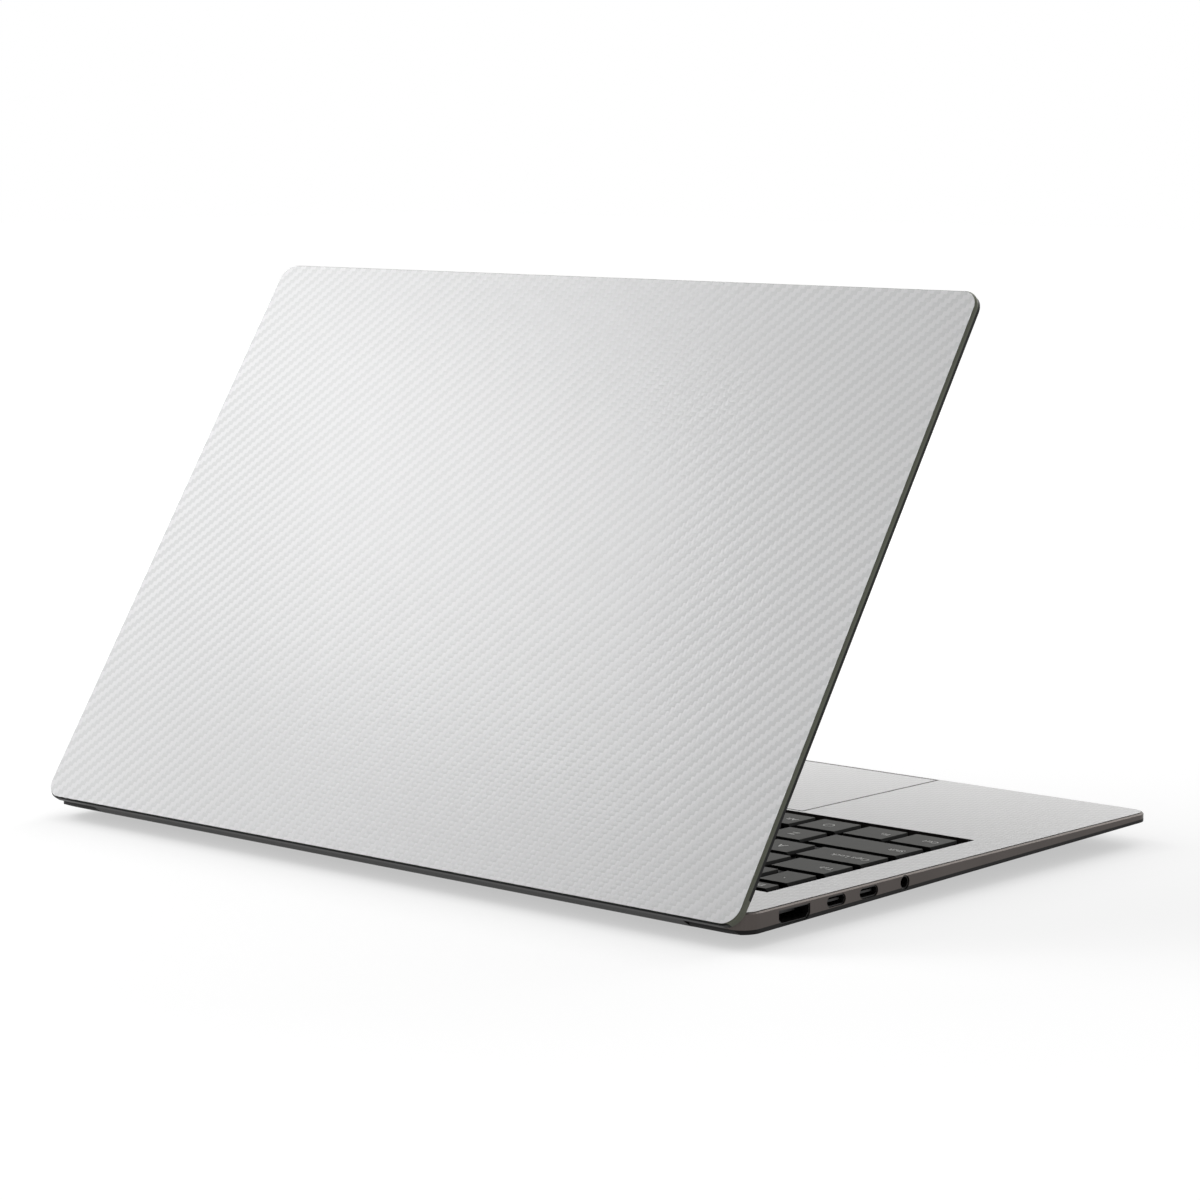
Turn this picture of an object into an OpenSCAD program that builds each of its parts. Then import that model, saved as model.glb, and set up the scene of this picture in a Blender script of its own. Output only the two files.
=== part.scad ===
// Thin clamshell laptop computer with a textured vinyl skin on its lid and deck.
// Millimetres, +Z up. The front edge faces -Y and the lid hinges along +Y.
// The origin lies on the desk, in the middle of the footprint with the lid as it stands.

/* [Base] */
// Width of the base and of the lid
base_w = 310.3; // [308:0.1:318]
// Depth of the base from its front edge to its rear edge
base_d = 213; // [211:0.1:220]
// Height of the deck above the belly
base_h = 8.8; // [8.7:0.1:10]
// Plan radius of the base's corners
base_corner_r = 6.4; // [5:0.1:8]
// Height of the feet under the belly
foot_h = 2.2; // [2.1:0.1:4]
// Width of the rubber feet
foot_w = 8; // [6:0.5:10]
// Drop of the parting line below the deck at the front edge
parting_front = 2; // [1.9:0.05:2.2]
// Drop of the parting line below the deck at the rear edge
parting_rear = 5.3; // [5.1:0.05:5.5]
// Drop of the rim's lower edge below the deck at the front edge
rim_front = 3.05; // [2.9:0.05:3.2]
// Drop of the rim's lower edge below the deck at the rear edge
rim_rear = 6.65; // [6.6:0.05:7]
// Plate thickness of the top case
plate_t = 1.2; // [1.1:0.05:1.3]
// Side wall thickness of the top case and the bottom cover
wall_t = 1.8; // [1.6:0.1:2]
// Chamfer along the top edge of the metal side
edge_chamfer = 0.4; // [0.2:0.05:0.7]
// Step from the rim in to the belly
rim_step = 0.3; // [0.2:0.05:0.5]
// Floor thickness of the bottom cover
floor_t = 0.9; // [0.7:0.05:1]
// Inset of the flat belly from the front edge
belly_inset_front = 24; // [23:0.5:25]
// Inset of the flat belly from each side
belly_inset_side = 18; // [17:0.5:18]
// Radius of the rounded upper edge behind the hinge corners
rear_top_r = 1.6; // [1.5:0.1:2]
// Radius of the rounded lower edge behind the hinge corners
rear_low_r = 3.2; // [3.1:0.1:3.5]

/* [Skin] */
// Thickness of the vinyl skin
skin_t = 0.2; // [0.15:0.01:0.25]
// Inset of the skin from the metal's outline
skin_inset = 0.9; // [0.6:0.05:1.2]

/* [Lid] */
// Opening angle from closed at which the lid stands
lid_angle = 56.875; // [40:0.125:100]
// Height of the closed lid's outer face above the deck
lid_rise = 4.3; // [4.2:0.05:4.6]
// Thickness of the metal lid cover with its skin
lid_cover_h = 2.45; // [2.4:0.05:2.5]
// Back plate thickness of the lid cover
lid_plate_t = 0.8; // [0.7:0.05:0.9]
// Side wall thickness of the lid cover
lid_wall_t = 1.5; // [1.3:0.1:1.6]
// Plan radius of the lid's corners
lid_corner_r = 6.3; // [5:0.1:8]
// Width of the sloped edge round the lid's outer face
lid_edge_w = 0.5; // [0.4:0.05:0.6]
// Depth of the sloped edge round the lid's outer face
lid_edge_h = 0.5; // [0.4:0.05:0.7]
// Depth of the bare metal shown round the lid's edge
lid_metal_h = 1.25; // [1.15:0.05:1.35]
// Width of the black trim that sits in the lid's edge under the metal
trim_w = 0.7; // [0.6:0.05:0.8]
// Overhang of the closed lid past the base's front edge
lid_overhang = 0.55; // [0.3:0.05:1]
// Reach of the lid behind the hinge axis
lid_reach = 4.8; // [4.7:0.05:4.9]
// Thickness of the display bezel
bezel_t = 0.8; // [0.7:0.05:0.85]
// Thickness of the rubber lip round the bezel
gasket_t = 0.75; // [0.6:0.05:0.8]
// Width of the rubber lip round the bezel
gasket_w = 1.2; // [0.8:0.1:1.5]
// Bezel beside the display's visible area
side_bezel = 4.35; // [4:0.05:6]
// Bezel below the display's visible area, from the seam
low_bezel = 7.9; // [7.5:0.1:12]
// Bezel above the display's visible area
top_bezel = 9; // [8.5:0.1:9.5]

/* [Hinge] */
// Distance of the hinge axis from the base's rear edge
hinge_inset = 3.52; // [3.4:0.01:4]
// Drop of the hinge axis below the deck
hinge_drop = 2.89; // [2.8:0.01:3]
// Radius of the hinge strip
strip_r = 4.5; // [4:0.1:4.6]
// Inset of the hinge notch from each side of the base
notch_inset = 22; // [21:0.5:24]
// Gap between the hinge strip and the notch
strip_gap = 0.5; // [0.4:0.05:0.7]
// Radius of the hinge pins
pin_r = 1.2; // [1:0.05:1.25]
// Running clearance of the hinge pins
pin_gap = 0.05; // [0.03:0.01:0.08]

/* [Keyboard] */
// Distance of the keyboard well from each side of the base
well_side = 14.8125; // [14.5:0.0625:15.5]
// Pitch of the key rows
row_pitch = 18.15; // [17.9:0.05:18.2]
// Gap between neighbouring keys
key_gap = 3.15; // [3:0.05:3.4]
// Depth of the small keys in the back row
back_key_d = 7; // [6.5:0.1:7.4]
// Height of a keycap
key_h = 1.3; // [1.1:0.05:1.4]
// Drop of the key tops below the deck
key_sink = 0.05; // [0.05:0.05:0.15]
// Slope inward of each keycap side
key_taper = 0.3; // [0.2:0.05:0.5]
// Plan radius of the keycap corners
key_r = 1; // [0.5:0.1:1.5]
// Travel of a key
key_travel = 1; // [0.8:0.05:1.05]
// Margin between the keys and the well
well_margin = 3.8; // [3.3:0.1:3.9]
// Depth of the keyboard well below the deck
well_depth = 2.6; // [2.55:0.05:2.65]
// Floor thickness of the keyboard plate
key_plate_t = 0.6; // [0.5:0.05:0.7]

/* [Touchpad] */
// Width of the touchpad
pad_w = 136.7; // [120:0.1:145]
// Gap round the touchpad
pad_gap = 0.45; // [0.35:0.05:0.5]
// Rib between the touchpad and the keyboard well
pad_rib = 1.3; // [1.25:0.05:2]
// Thickness of the touchpad's glass plate
pad_t = 1.2; // [1:0.05:1.2]
// Thickness of the touchpad's support plate
pad_frame_t = 0.5; // [0.4:0.05:0.6]
// Room under the touchpad for its click
pad_room = 0.5; // [0.45:0.05:0.55]

/* [Ports] */
// Distance of the display output from the rear edge
hdmi_back = 22.6; // [22:0.1:26]
// Width of the display output's opening
hdmi_w = 14.8; // [14.4:0.1:15.2]
// Height of the display output's opening
hdmi_h = 4.5; // [4.3:0.05:4.5]
// Drop of the display output's centre below the deck
hdmi_drop = 3.55; // [3.5:0.01:3.6]
// Distance of the rearmost reversible port from the rear edge
usb_c_back = 42.6; // [42:0.1:44]
// Pitch of the two reversible ports
usb_c_pitch = 15.95; // [14:0.05:17]
// Width of a reversible port's opening
usb_c_w = 9.1; // [8.9:0.05:9.4]
// Height of a reversible port's opening
usb_c_h = 3.4; // [3.2:0.05:3.5]
// Drop of the reversible ports' centre below the deck
usb_c_drop = 2.7; // [2.65:0.01:2.75]
// Distance of the audio jack from the rear edge
jack_back = 76.65; // [76:0.05:82]
// Bore radius of the audio jack
jack_r = 1.75; // [1.7:0.01:1.8]
// Wall of the audio jack's barrel
jack_wall = 0.4; // [0.3:0.02:0.45]
// Drop of the audio jack's axis below the deck
jack_drop = 2.6; // [2.58:0.01:2.65]
// Length of the audio jack
jack_l = 12.5; // [11:0.1:12.6]
// Distance of the flat socket from the rear edge
usb_a_back = 24; // [23:0.1:30]
// Width of the flat socket's opening
usb_a_w = 13.2; // [12.8:0.1:13.6]
// Height of the flat socket's opening
usb_a_h = 4.8; // [4.6:0.05:4.85]
// Drop of the flat socket's centre below the deck
usb_a_drop = 3.3; // [3.28:0.01:3.32]
// Clearance of each socket in its opening
port_gap = 0.1; // [0.08:0.01:0.15]
// Recess of each socket behind the metal side
port_recess = 0.4; // [0.2:0.05:0.8]

/* [Inside] */
// Distance of each fan's axis from the middle
fan_x = 82; // [80:0.5:84]
// Distance of the fans' axis from the rear edge
fan_back = 53; // [52:0.5:54]
// Outside size of the square fan housing
fan_size = 50; // [48:0.5:51]
// Radius of the fan impeller
impeller_r = 19.5; // [18:0.1:20]
// Number of blades on a fan impeller
blade_count = 29; // [15:1:35]
// Thickness of the circuit board
board_t = 0.8; // [0.6:0.05:0.9]
// Distance of the battery pack from each side of the base
battery_side = 64.15; // [64:0.05:70]
// Room between the battery pack and the circuit board
battery_room = 6.63; // [6.6:0.01:10]
// Height of the battery cells above the floor
battery_h = 4.4; // [3:0.1:4.5]
// Length of each fin stack
fins_w = 48; // [40:1:50]
// Pitch of the cooling fins
fin_pitch = 2; // [1.5:0.1:3]
// Height of the fin stacks
fins_h = 2.5; // [2:0.1:2.6]

/* [Intake grille] */
// Distance of the intake grille from each side of the base
grille_side = 26.15; // [26:0.05:35]
// Depth of the intake grille
grille_d = 12; // [10:0.1:12]
// Pitch of the grille's slots
grille_pitch = 3.4; // [3:0.1:5]
// Width of a grille slot
grille_slot = 1.7; // [1:0.1:2]

/* [Hidden] */
$fn = 48;

// Colours as the object shows them
metal = [0.30, 0.28, 0.26];
lid_metal = [0.33, 0.33, 0.30];
vinyl = [0.90, 0.90, 0.90];
black = [0.05, 0.05, 0.05];
key_grey = [0.36, 0.35, 0.34];
board_green = [0.10, 0.22, 0.16];
steel = [0.62, 0.62, 0.63];
copper = [0.72, 0.45, 0.30];

// Small allowance that carries a cut clean through a face
eps = 0.5;
// Thickness of the thin slabs that the sloped forms are drawn between
slab_t = 0.3;

// Levels above the desk
belly_z = foot_h;
deck_z = foot_h + base_h;
case_z = deck_z - skin_t;
plate_z = case_z - plate_t;
floor_z = belly_z + floor_t;
well_z = deck_z - well_depth;
key_plate_z = well_z - key_plate_t;
key_top_z = deck_z - key_sink;
key_low_z = key_top_z - key_h;
leg_engage = 0.3;
leg_low_z = well_z - leg_engage;
inner_top_z = leg_low_z - key_travel - 0.15;
board_z = deck_z - hdmi_drop - hdmi_h / 2;
pad_low_z = case_z - pad_t;
pad_floor_z = pad_low_z - pad_room;

// Hinge axis and the notch that its strip turns in
hinge_y = base_d - hinge_inset;
hinge_z = deck_z - hinge_drop;
notch_x = base_w / 2 - notch_inset;
notch_y = hinge_y - strip_r - strip_gap;
strip_x = notch_x - strip_gap;

// Belly behind the notch: its rise to the rim, and the lowest point of the rounded rear edge
belly_rise = deck_z - rim_rear - belly_z;
rear_low_z = deck_z - rim_rear - rear_low_r * belly_rise / (base_d - notch_y);

// Keyboard: widths of the keys in each row, in units, from the front row to the back
FRONT_ROW = [1.03, 1, 1, 1, 5.47, 1, 1, 1, 1, 1];
LOWER_ROW = [2.03, 1, 1, 1, 1, 1, 1, 1, 1, 1, 1, 2.47];
HOME_ROW = [1.53, 1, 1, 1, 1, 1, 1, 1, 1, 1, 1, 1, 1.97];
UPPER_ROW = [1.28, 1, 1, 1, 1, 1, 1, 1, 1, 1, 1, 1, 1, 1.22];
NUMBER_ROW = [0.78, 1, 1, 1, 1, 1, 1, 1, 1, 1, 1, 1, 1, 1.72];
row_units = 14.5;
back_count = 15;
BACK_ROW = [for (i = [1:back_count]) row_units / back_count];
ROWS = [FRONT_ROW, LOWER_ROW, HOME_ROW, UPPER_ROW, NUMBER_ROW, BACK_ROW];
back_row = 5;
arrow_column = 8;
key_d = row_pitch - key_gap;
well_w = base_w - 2 * well_side;
keys_w = well_w - 2 * well_margin;
key_unit = (keys_w + key_gap) / row_units;
rows_d = back_row * row_pitch + back_key_d;
well_d = rows_d + 2 * well_margin;

// Places from the rear edge forward
grille_w = base_w - 2 * grille_side;
grille_rib = 2.8;
grille_y = notch_y - grille_rib - grille_d;
well_rib = 4.7;
well_y = grille_y - well_rib - well_d;
pad_back_y = well_y - pad_rib - pad_gap;
pad_front_y = wall_t + pad_gap;
pad_d = pad_back_y - pad_front_y;
frame_front_y = 5;
cell_y = belly_inset_front + 3;
board_y = well_y + 4;
battery_w = base_w - 2 * battery_side;
battery_d = board_y - battery_room - cell_y;
fan_y = base_d - fan_back;

// Screws: pan heads sunk in the cover, shanks up into the bosses
screw_r = 1;
screw_fit = 0.1;
screw_head_r = 2.1;
screw_head_h = 0.9;
screw_pad_h = 2.4;
screw_bite = 3;
boss_r = 2.6;
pad_r = 3.4;
rear_boss_x = notch_x + 0.35;
SCREWS = [
    for (side = [-1, 1], spot = [
        [base_w / 2 - 27, belly_inset_front + 5],
        [battery_w / 2 + pad_r + 0.6, cell_y + battery_d - 2],
        [rear_boss_x, base_d - 20]
    ]) [side * spot[0], spot[1]]
];

// Circuit board: its edge lies just behind the sockets, whose lugs stand on it
board_inset = 15.15;
board_x = base_w / 2 - board_inset;
board_band = 46;
post_r = 2.5;
BOARD_POSTS = [
    for (side = [-1, 1], spot = [
        [30, well_y + 10], [board_x - 35, well_y + 10], [fan_x + 36, fan_y - 15], [fan_x - 62, fan_y + 20]
    ]) [side * spot[0], spot[1]]
];
lug_from = board_inset + 0.25;
lug_to = lug_from + 3.1;

// Sockets: their lengths behind the metal side, and the room left behind each
hdmi_l = 11.4;
usb_c_l = 7.8;
usb_a_l = 12.9;
socket_room = 0.6;
socket_wall = 0.3;

// Speakers
speaker_x = base_w / 2 - 42;
speaker_y = cell_y + battery_d / 2;
speaker_d = battery_d - 12;

// Fans, from the cover's floor to the room left under the keys, and their fin stacks
fan_low_z = floor_z;
fan_plate_t = 0.5;
fan_top_z = inner_top_z;
chamber_r = impeller_r + 1.5;
bearing_h = 0.6;
bearing_r = 0.8;
bearing_gap = 0.05;
fins_d = 13;

// Hinge sleeves in the corners of the base, and the leaves that run up into the lid
sleeve_r = 1.85;
sleeve_from = notch_x + wall_t + 0.35;
sleeve_to = sleeve_from + 8;
leaf_w = 20;
leaf_x = strip_x - leaf_w - 8.65;
leaf_reach = 9.8;
upright = 1.5;

// Guide legs of the keys, and the two half keys of the arrow column
leg_w = 1.6;
leg_d = 4;
leg_in = 3;
slot_gap = 0.3;
half_gap = 1.2;
half_d = (key_d - half_gap) / 2;
half_step = (half_d + half_gap) / 2;

// Middle of the footprint: the lowest edge of the lid's skin is the rearmost point
lid_out = hinge_drop + lid_rise;
lid_skin_reach = lid_reach - lid_edge_w;
rearmost_y = hinge_y + lid_skin_reach * cos(lid_angle) + lid_out * sin(lid_angle);
origin_y = rearmost_y / 2;

// Distances from the hinge axis through the closed lid, inner face first
cover_in = lid_out - lid_cover_h;
cover_out = lid_out - skin_t;
pocket_out = cover_out - lid_plate_t;
rebate_out = cover_out - lid_metal_h;
bezel_in = cover_in - bezel_t;
gasket_in = bezel_in - gasket_t;
lid_front = hinge_y + lid_overhang;
lid_d = lid_front + lid_reach;
lid_mid = lid_reach - lid_d / 2;
lid_seam = strip_r + 0.1;
trim_edge = 0.1;
trim_fit = 0.05;
bezel_edge = 1;
view_top = lid_front - top_bezel;
view_w = base_w - 2 * side_bezel;
view_low = lid_seam + low_bezel;
camera_y = -(view_top + top_bezel / 2);

// ---------- placing ----------

// Moves a piece drawn from the front edge into the part's own frame
module placed() {
    translate([0, -origin_y, 0]) children();
}

// Holds a piece drawn about the hinge axis, with the lid flat and shut, at the lid's angle
module on_lid() {
    placed() translate([0, hinge_y, hinge_z]) rotate([-lid_angle, 0, 0]) children();
}

// Holds a socket drawn inward from the metal side: X runs in, Y runs back and Z up
module at_port(side, back, drop) {
    placed()
        translate([side * base_w / 2, base_d - back, deck_z - drop])
            mirror([side > 0 ? 1 : 0, 0, 0])
                children();
}

// Extrudes a flat shape along X, its width along Y and its height along Z
module along_x(from, to) {
    translate([from, 0, 0]) rotate([90, 0, 90]) linear_extrude(to - from) children();
}

// Box from its lowest corner to its highest corner
module block(low, high) {
    translate(low) cube(high - low);
}

// The same piece on the left and on the right
module both_sides() {
    children();
    mirror([1, 0, 0]) children();
}

// ---------- flat shapes ----------

// Rectangle with round corners, about its middle, with half sizes of whole thousandths
module rounded_rect(w, d, r) {
    x = round(w * 500) / 1000 - r;
    y = round(d * 500) / 1000 - r;
    square([2 * x, 2 * (y + r)], center = true);
    square([2 * (x + r), 2 * y], center = true);
    for (sx = [-1, 1], sy = [-1, 1])
        translate([sx * x, sy * y]) circle(r = r);
}

// Plan of the base, drawn from its front edge
module base_plan(inset) {
    translate([0, base_d / 2])
        rounded_rect(base_w - 2 * inset, base_d - 2 * inset, base_corner_r - inset);
}

// Plan of the hinge notch, grown by the wall that stands round it
module notch_plan(grow) {
    translate([-notch_x - grow, notch_y - grow])
        square([2 * (notch_x + grow), base_d - notch_y + grow + eps]);
}

// Plan of the room inside the base's walls
module room_plan() {
    difference() {
        base_plan(wall_t);
        notch_plan(wall_t);
    }
}

// Plan of the lid, about the hinge axis
module lid_plan(inset) {
    translate([0, lid_mid])
        rounded_rect(base_w - 2 * inset, lid_d - 2 * inset, lid_corner_r - inset);
}

// Plan of the lid's inner pieces, which stop at a seam in front of the hinge axis
module lid_inner_plan(inset, seam) {
    difference() {
        lid_plan(inset);
        translate([-base_w, -seam]) square([2 * base_w, lid_d]);
    }
}

// Mouth of the display output, with its lower corners cut back
module hdmi_shape(w, h) {
    cut = 1.4;
    polygon([
        [-w / 2, h / 2], [w / 2, h / 2], [w / 2, cut - h / 2],
        [w / 2 - cut, -h / 2], [cut - w / 2, -h / 2], [-w / 2, cut - h / 2]
    ]);
}

// Mouth of a reversible port, a slot with round ends
module pill_shape(w, h) {
    square([w - h, h], center = true);
    for (side = [-1, 1]) translate([side * (w - h) / 2, 0]) circle(d = h);
}

// ---------- sloping planes of the base ----------

// Thick block whose lower face falls from the front edge to the rear edge of the base
module above_slope(drop_front, drop_rear, thick) {
    translate([0, 0, deck_z - drop_front])
        rotate([-atan((drop_rear - drop_front) / base_d), 0, 0])
            translate([-base_w, -base_d / 2, 0])
                cube([2 * base_w, 2 * base_d, thick]);
}

// Thin slab of the base's plan, lying on a plane that falls toward the rear
module sloped_slab(inset, drop_front, drop_rear) {
    translate([0, 0, deck_z - drop_front])
        rotate([-atan((drop_rear - drop_front) / base_d), 0, 0])
            linear_extrude(slab_t) base_plan(inset);
}

// Slab of the flat belly, whose sides lie the given inset inside the belly's own
module belly_slab(z, inset) {
    front = belly_inset_front + inset;
    translate([0, (front + notch_y) / 2, z])
        linear_extrude(slab_t)
            rounded_rect(base_w - 2 * (belly_inset_side + inset), notch_y - front, 8);
}

// Waste outside a rounded edge along the rear of the base; up is 1 for an upper edge, -1 for a lower
module rear_edge_waste(r, z, up) {
    translate([0, base_d - r, z - up * r]) along_x(-base_w, base_w) difference() {
        mirror([0, up < 0 ? 1 : 0]) square([r + eps, r + belly_rise]);
        circle(r = r);
    }
}

// ---------- openings shared by the top case and the bottom cover ----------

// Openings for the sockets, cut through both side walls
module port_cuts() {
    reach = eps - 1;
    translate([0, origin_y, 0]) {
        at_port(-1, hdmi_back, hdmi_drop) along_x(reach, hdmi_l + socket_room) hdmi_shape(hdmi_w, hdmi_h);
        for (i = [0, 1])
            at_port(-1, usb_c_back + i * usb_c_pitch, usb_c_drop)
                along_x(reach, usb_c_l + socket_room) pill_shape(usb_c_w, usb_c_h);
        at_port(-1, jack_back, jack_drop)
            along_x(reach, jack_l + port_recess + socket_room) circle(r = jack_r + jack_wall + port_gap);
        at_port(1, usb_a_back, usb_a_drop)
            along_x(reach, usb_a_l + socket_room) square([usb_a_w, usb_a_h], center = true);
    }
}

// Exhaust slots through the wall in front of the hinge strip, behind each fin stack
module exhaust_cuts() {
    slot_w = 1.4;
    slot_pitch = 3;
    count = floor(fins_w / slot_pitch);
    both_sides()
        for (i = [0:count - 1])
            translate([fan_x + (i - (count - 1) / 2) * slot_pitch - slot_w / 2, notch_y - wall_t - eps, 0])
                block([0, 0, floor_z + 0.4], [slot_w, wall_t + 2 * eps, plate_z - 0.6]);
}

// ---------- base ----------

module top_case() {
    color(metal) placed() difference() {
        intersection() {
            hull() {
                translate([0, 0, deck_z - parting_rear - 1])
                    linear_extrude(parting_rear + 1 - skin_t - edge_chamfer) base_plan(0, $fn = 32);
                translate([0, 0, case_z - 0.01]) linear_extrude(0.01) base_plan(edge_chamfer, $fn = 32);
            }
            above_slope(parting_front, parting_rear, 30);
        }
        difference() {
            linear_extrude(plate_z) room_plan();
            screw_bosses();
        }
        translate([0, 0, -eps]) linear_extrude(deck_z + 2 * eps) notch_plan(0);
        block([-well_w / 2, well_y, plate_z - eps], [well_w / 2, well_y + well_d, deck_z]);
        block(
            [-pad_w / 2 - pad_gap, pad_front_y - pad_gap, plate_z - eps],
            [pad_w / 2 + pad_gap, pad_back_y + pad_gap, deck_z]
        );
        block([-grille_w / 2, grille_y, plate_z - eps], [grille_w / 2, grille_y + grille_d, deck_z]);
        rear_edge_waste(rear_top_r, case_z, 1);
        rear_edge_waste(rear_low_r, rear_low_z, -1);
        port_cuts();
        exhaust_cuts();
        both_sides() hinge_sleeve_room();
    }
}

// Bosses that hang from the top case and take the cover's screws
module screw_bosses() {
    for (spot = SCREWS)
        translate([spot[0], spot[1], belly_z + screw_pad_h])
            difference() {
                cylinder(r = boss_r, h = plate_z - belly_z - screw_pad_h + eps);
                translate([0, 0, -eps]) cylinder(r = screw_r + screw_fit / 2, h = screw_bite + 0.3 + eps);
            }
}

// Hollow round each hinge sleeve, and the hole where the pin enters the corner
module hinge_sleeve_room() {
    room = sleeve_r + 0.05;
    translate([0, hinge_y, hinge_z]) {
        block([sleeve_from - 0.2, -room, -room], [sleeve_to + 0.3, room, room]);
        along_x(notch_x - eps, sleeve_to) circle(r = pin_r + 0.4);
    }
}

module deck_skin() {
    color(vinyl) placed() translate([0, 0, case_z]) linear_extrude(skin_t) difference() {
        base_plan(skin_inset);
        notch_plan(0.6);
        translate([0, well_y + well_d / 2]) square([well_w, well_d], center = true);
        translate([-pad_w / 2 - pad_gap, pad_front_y - pad_gap])
            square([pad_w + 2 * pad_gap, pad_d + 2 * pad_gap]);
        translate([0, grille_y + grille_d / 2]) square([grille_w + 1, grille_d + 1], center = true);
        translate([-base_w, base_d - rear_top_r - 0.1]) square([2 * base_w, rear_top_r + 1]);
    }
}

module keyboard_plate() {
    flange = 1.4;
    front_flange = pad_rib / 2 - 0.05;
    color(black) placed() difference() {
        block(
            [-well_w / 2 - flange, well_y - front_flange, key_plate_z],
            [well_w / 2 + flange, well_y + well_d + flange, plate_z]
        );
        block([-well_w / 2, well_y, well_z], [well_w / 2, well_y + well_d, plate_z + eps]);
        for (row = [0:back_row], i = [0:len(ROWS[row]) - 1]) key_slots(row, i);
    }
}

module touchpad_frame() {
    rim = 3;
    color(steel) placed() difference() {
        block(
            [-pad_w / 2 - pad_gap - rim, frame_front_y, pad_floor_z - pad_frame_t],
            [pad_w / 2 + pad_gap + rim, pad_back_y + pad_gap + pad_rib / 2 - 0.05, plate_z]
        );
        difference() {
            block(
                [-pad_w / 2 - pad_gap, frame_front_y - eps, pad_floor_z],
                [pad_w / 2 + pad_gap, pad_back_y + pad_gap, plate_z + eps]
            );
            block([-pad_w / 2, pad_back_y - 3, 0], [pad_w / 2, pad_back_y, pad_low_z - 0.05]);
        }
        for (i = [-2:2])
            translate([i * pad_w / 6, frame_front_y + pad_d / 2, 0])
                linear_extrude(deck_z) rounded_rect(15, pad_d / 2, 3);
    }
}

module intake_grille() {
    fit = 0.15;
    flange = 0.8;
    flange_t = 0.6;
    slot_d = (grille_d - 4) / 2;
    lean = 1.2;
    count = floor((grille_w - 6) / grille_pitch);
    color(black) placed() difference() {
        union() {
            block(
                [-grille_w / 2 + fit, grille_y + fit, plate_z - flange_t],
                [grille_w / 2 - fit, grille_y + grille_d - fit, case_z - 0.2]
            );
            block(
                [-grille_w / 2 - flange, grille_y - flange, plate_z - flange_t],
                [grille_w / 2 + flange, grille_y + grille_d + flange, plate_z]
            );
        }
        for (row = [0, 1], i = [0:count - 1])
            translate([
                (i - (count - 1) / 2) * grille_pitch,
                grille_y + grille_d / 2 + (row - 0.5) * (slot_d + 1.2),
                plate_z - flange_t - eps
            ])
                linear_extrude(plate_t + 2)
                    grille_slot_shape(slot_d, row == 0 ? lean : -lean);
    }
}

// Slanted slot of the grille
module grille_slot_shape(d, lean) {
    w = grille_slot;
    polygon([
        [-w / 2 - lean / 2, -d / 2], [w / 2 - lean / 2, -d / 2],
        [w / 2 + lean / 2, d / 2], [lean / 2 - w / 2, d / 2]
    ]);
}

module bottom_cover() {
    color(black) placed() difference() {
        union() {
            difference() {
                cover_body();
                cover_room();
            }
            intersection() {
                cover_posts();
                cover_body();
            }
        }
        translate([0, 0, -eps]) linear_extrude(deck_z) notch_plan(0);
        rear_edge_waste(rear_low_r, rear_low_z, -1);
        port_cuts();
        exhaust_cuts();
        for (spot = SCREWS)
            translate([spot[0], spot[1], belly_z - eps]) {
                cylinder(r = screw_r + screw_fit, h = screw_pad_h + 2 * eps);
                cylinder(r = screw_head_r + screw_fit, h = screw_head_h + screw_fit + eps);
            }
        both_sides() cover_vents();
    }
}

// Outer form of the bottom cover: an upright rim over a belly that slopes in
module cover_body() {
    difference() {
        linear_extrude(deck_z) base_plan(0);
        above_slope(parting_front, parting_rear, 30);
        translate([0, 0, -30]) above_slope(rim_front, rim_rear, 30);
    }
    hull() {
        sloped_slab(rim_step, rim_front, rim_rear, $fn = 32);
        belly_slab(belly_z, 0, $fn = 32);
    }
}

// Room inside the bottom cover
module cover_room() {
    difference() {
        union() {
            hull() {
                sloped_slab(wall_t + 0.2, rim_front - floor_t, rim_rear - floor_t, $fn = 32);
                belly_slab(floor_z, 0.4, $fn = 32);
            }
            intersection() {
                linear_extrude(deck_z) base_plan(wall_t);
                above_slope(rim_front - floor_t, rim_rear - floor_t, 30);
            }
        }
        translate([0, 0, -eps]) linear_extrude(deck_z + 2 * eps) notch_plan(wall_t);
    }
}

// Pads round the screws, and posts that carry the circuit board
module cover_posts() {
    for (spot = SCREWS)
        translate([spot[0], spot[1], belly_z]) cylinder(r = pad_r, h = screw_pad_h);
    for (spot = BOARD_POSTS)
        translate([spot[0], spot[1], belly_z]) cylinder(r = post_r, h = board_z - board_t - belly_z);
}

// Intake slots under a fan and sound slots under a speaker
module cover_vents() {
    air_w = 1.8;
    sound_w = 1.4;
    for (i = [-5:5])
        translate([fan_x + i * 3.2, fan_y, belly_z - eps])
            linear_extrude(floor_t + 2 * eps) rounded_rect(air_w, 30 - abs(i) * 1.6, air_w / 2 - 0.05);
    for (i = [-3:3])
        translate([speaker_x, speaker_y + i * 3, belly_z - eps])
            linear_extrude(floor_t + 2 * eps) rounded_rect(14, sound_w, sound_w / 2 - 0.05);
}

module cover_screws() {
    color(black) placed() for (spot = SCREWS)
        translate([spot[0], spot[1], belly_z + screw_fit])
            difference() {
                union() {
                    cylinder(r = screw_head_r, h = screw_head_h);
                    cylinder(r = screw_r, h = screw_pad_h + screw_bite);
                }
                translate([0, 0, -eps]) cylinder(r = 0.9, h = 0.5 + eps, $fn = 6);
            }
}

module front_feet() {
    color(black) placed() both_sides()
        translate([base_w / 2 - 62, belly_inset_front + foot_w, 0])
            linear_extrude(foot_h) rounded_rect(46, foot_w, foot_w / 2 - 0.1);
}

module rear_foot() {
    color(black) placed() translate([0, notch_y - 11, 0])
        linear_extrude(foot_h) rounded_rect(2 * notch_x - 40, foot_w, foot_w / 2 - 0.1);
}

// ---------- inside the base ----------

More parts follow.
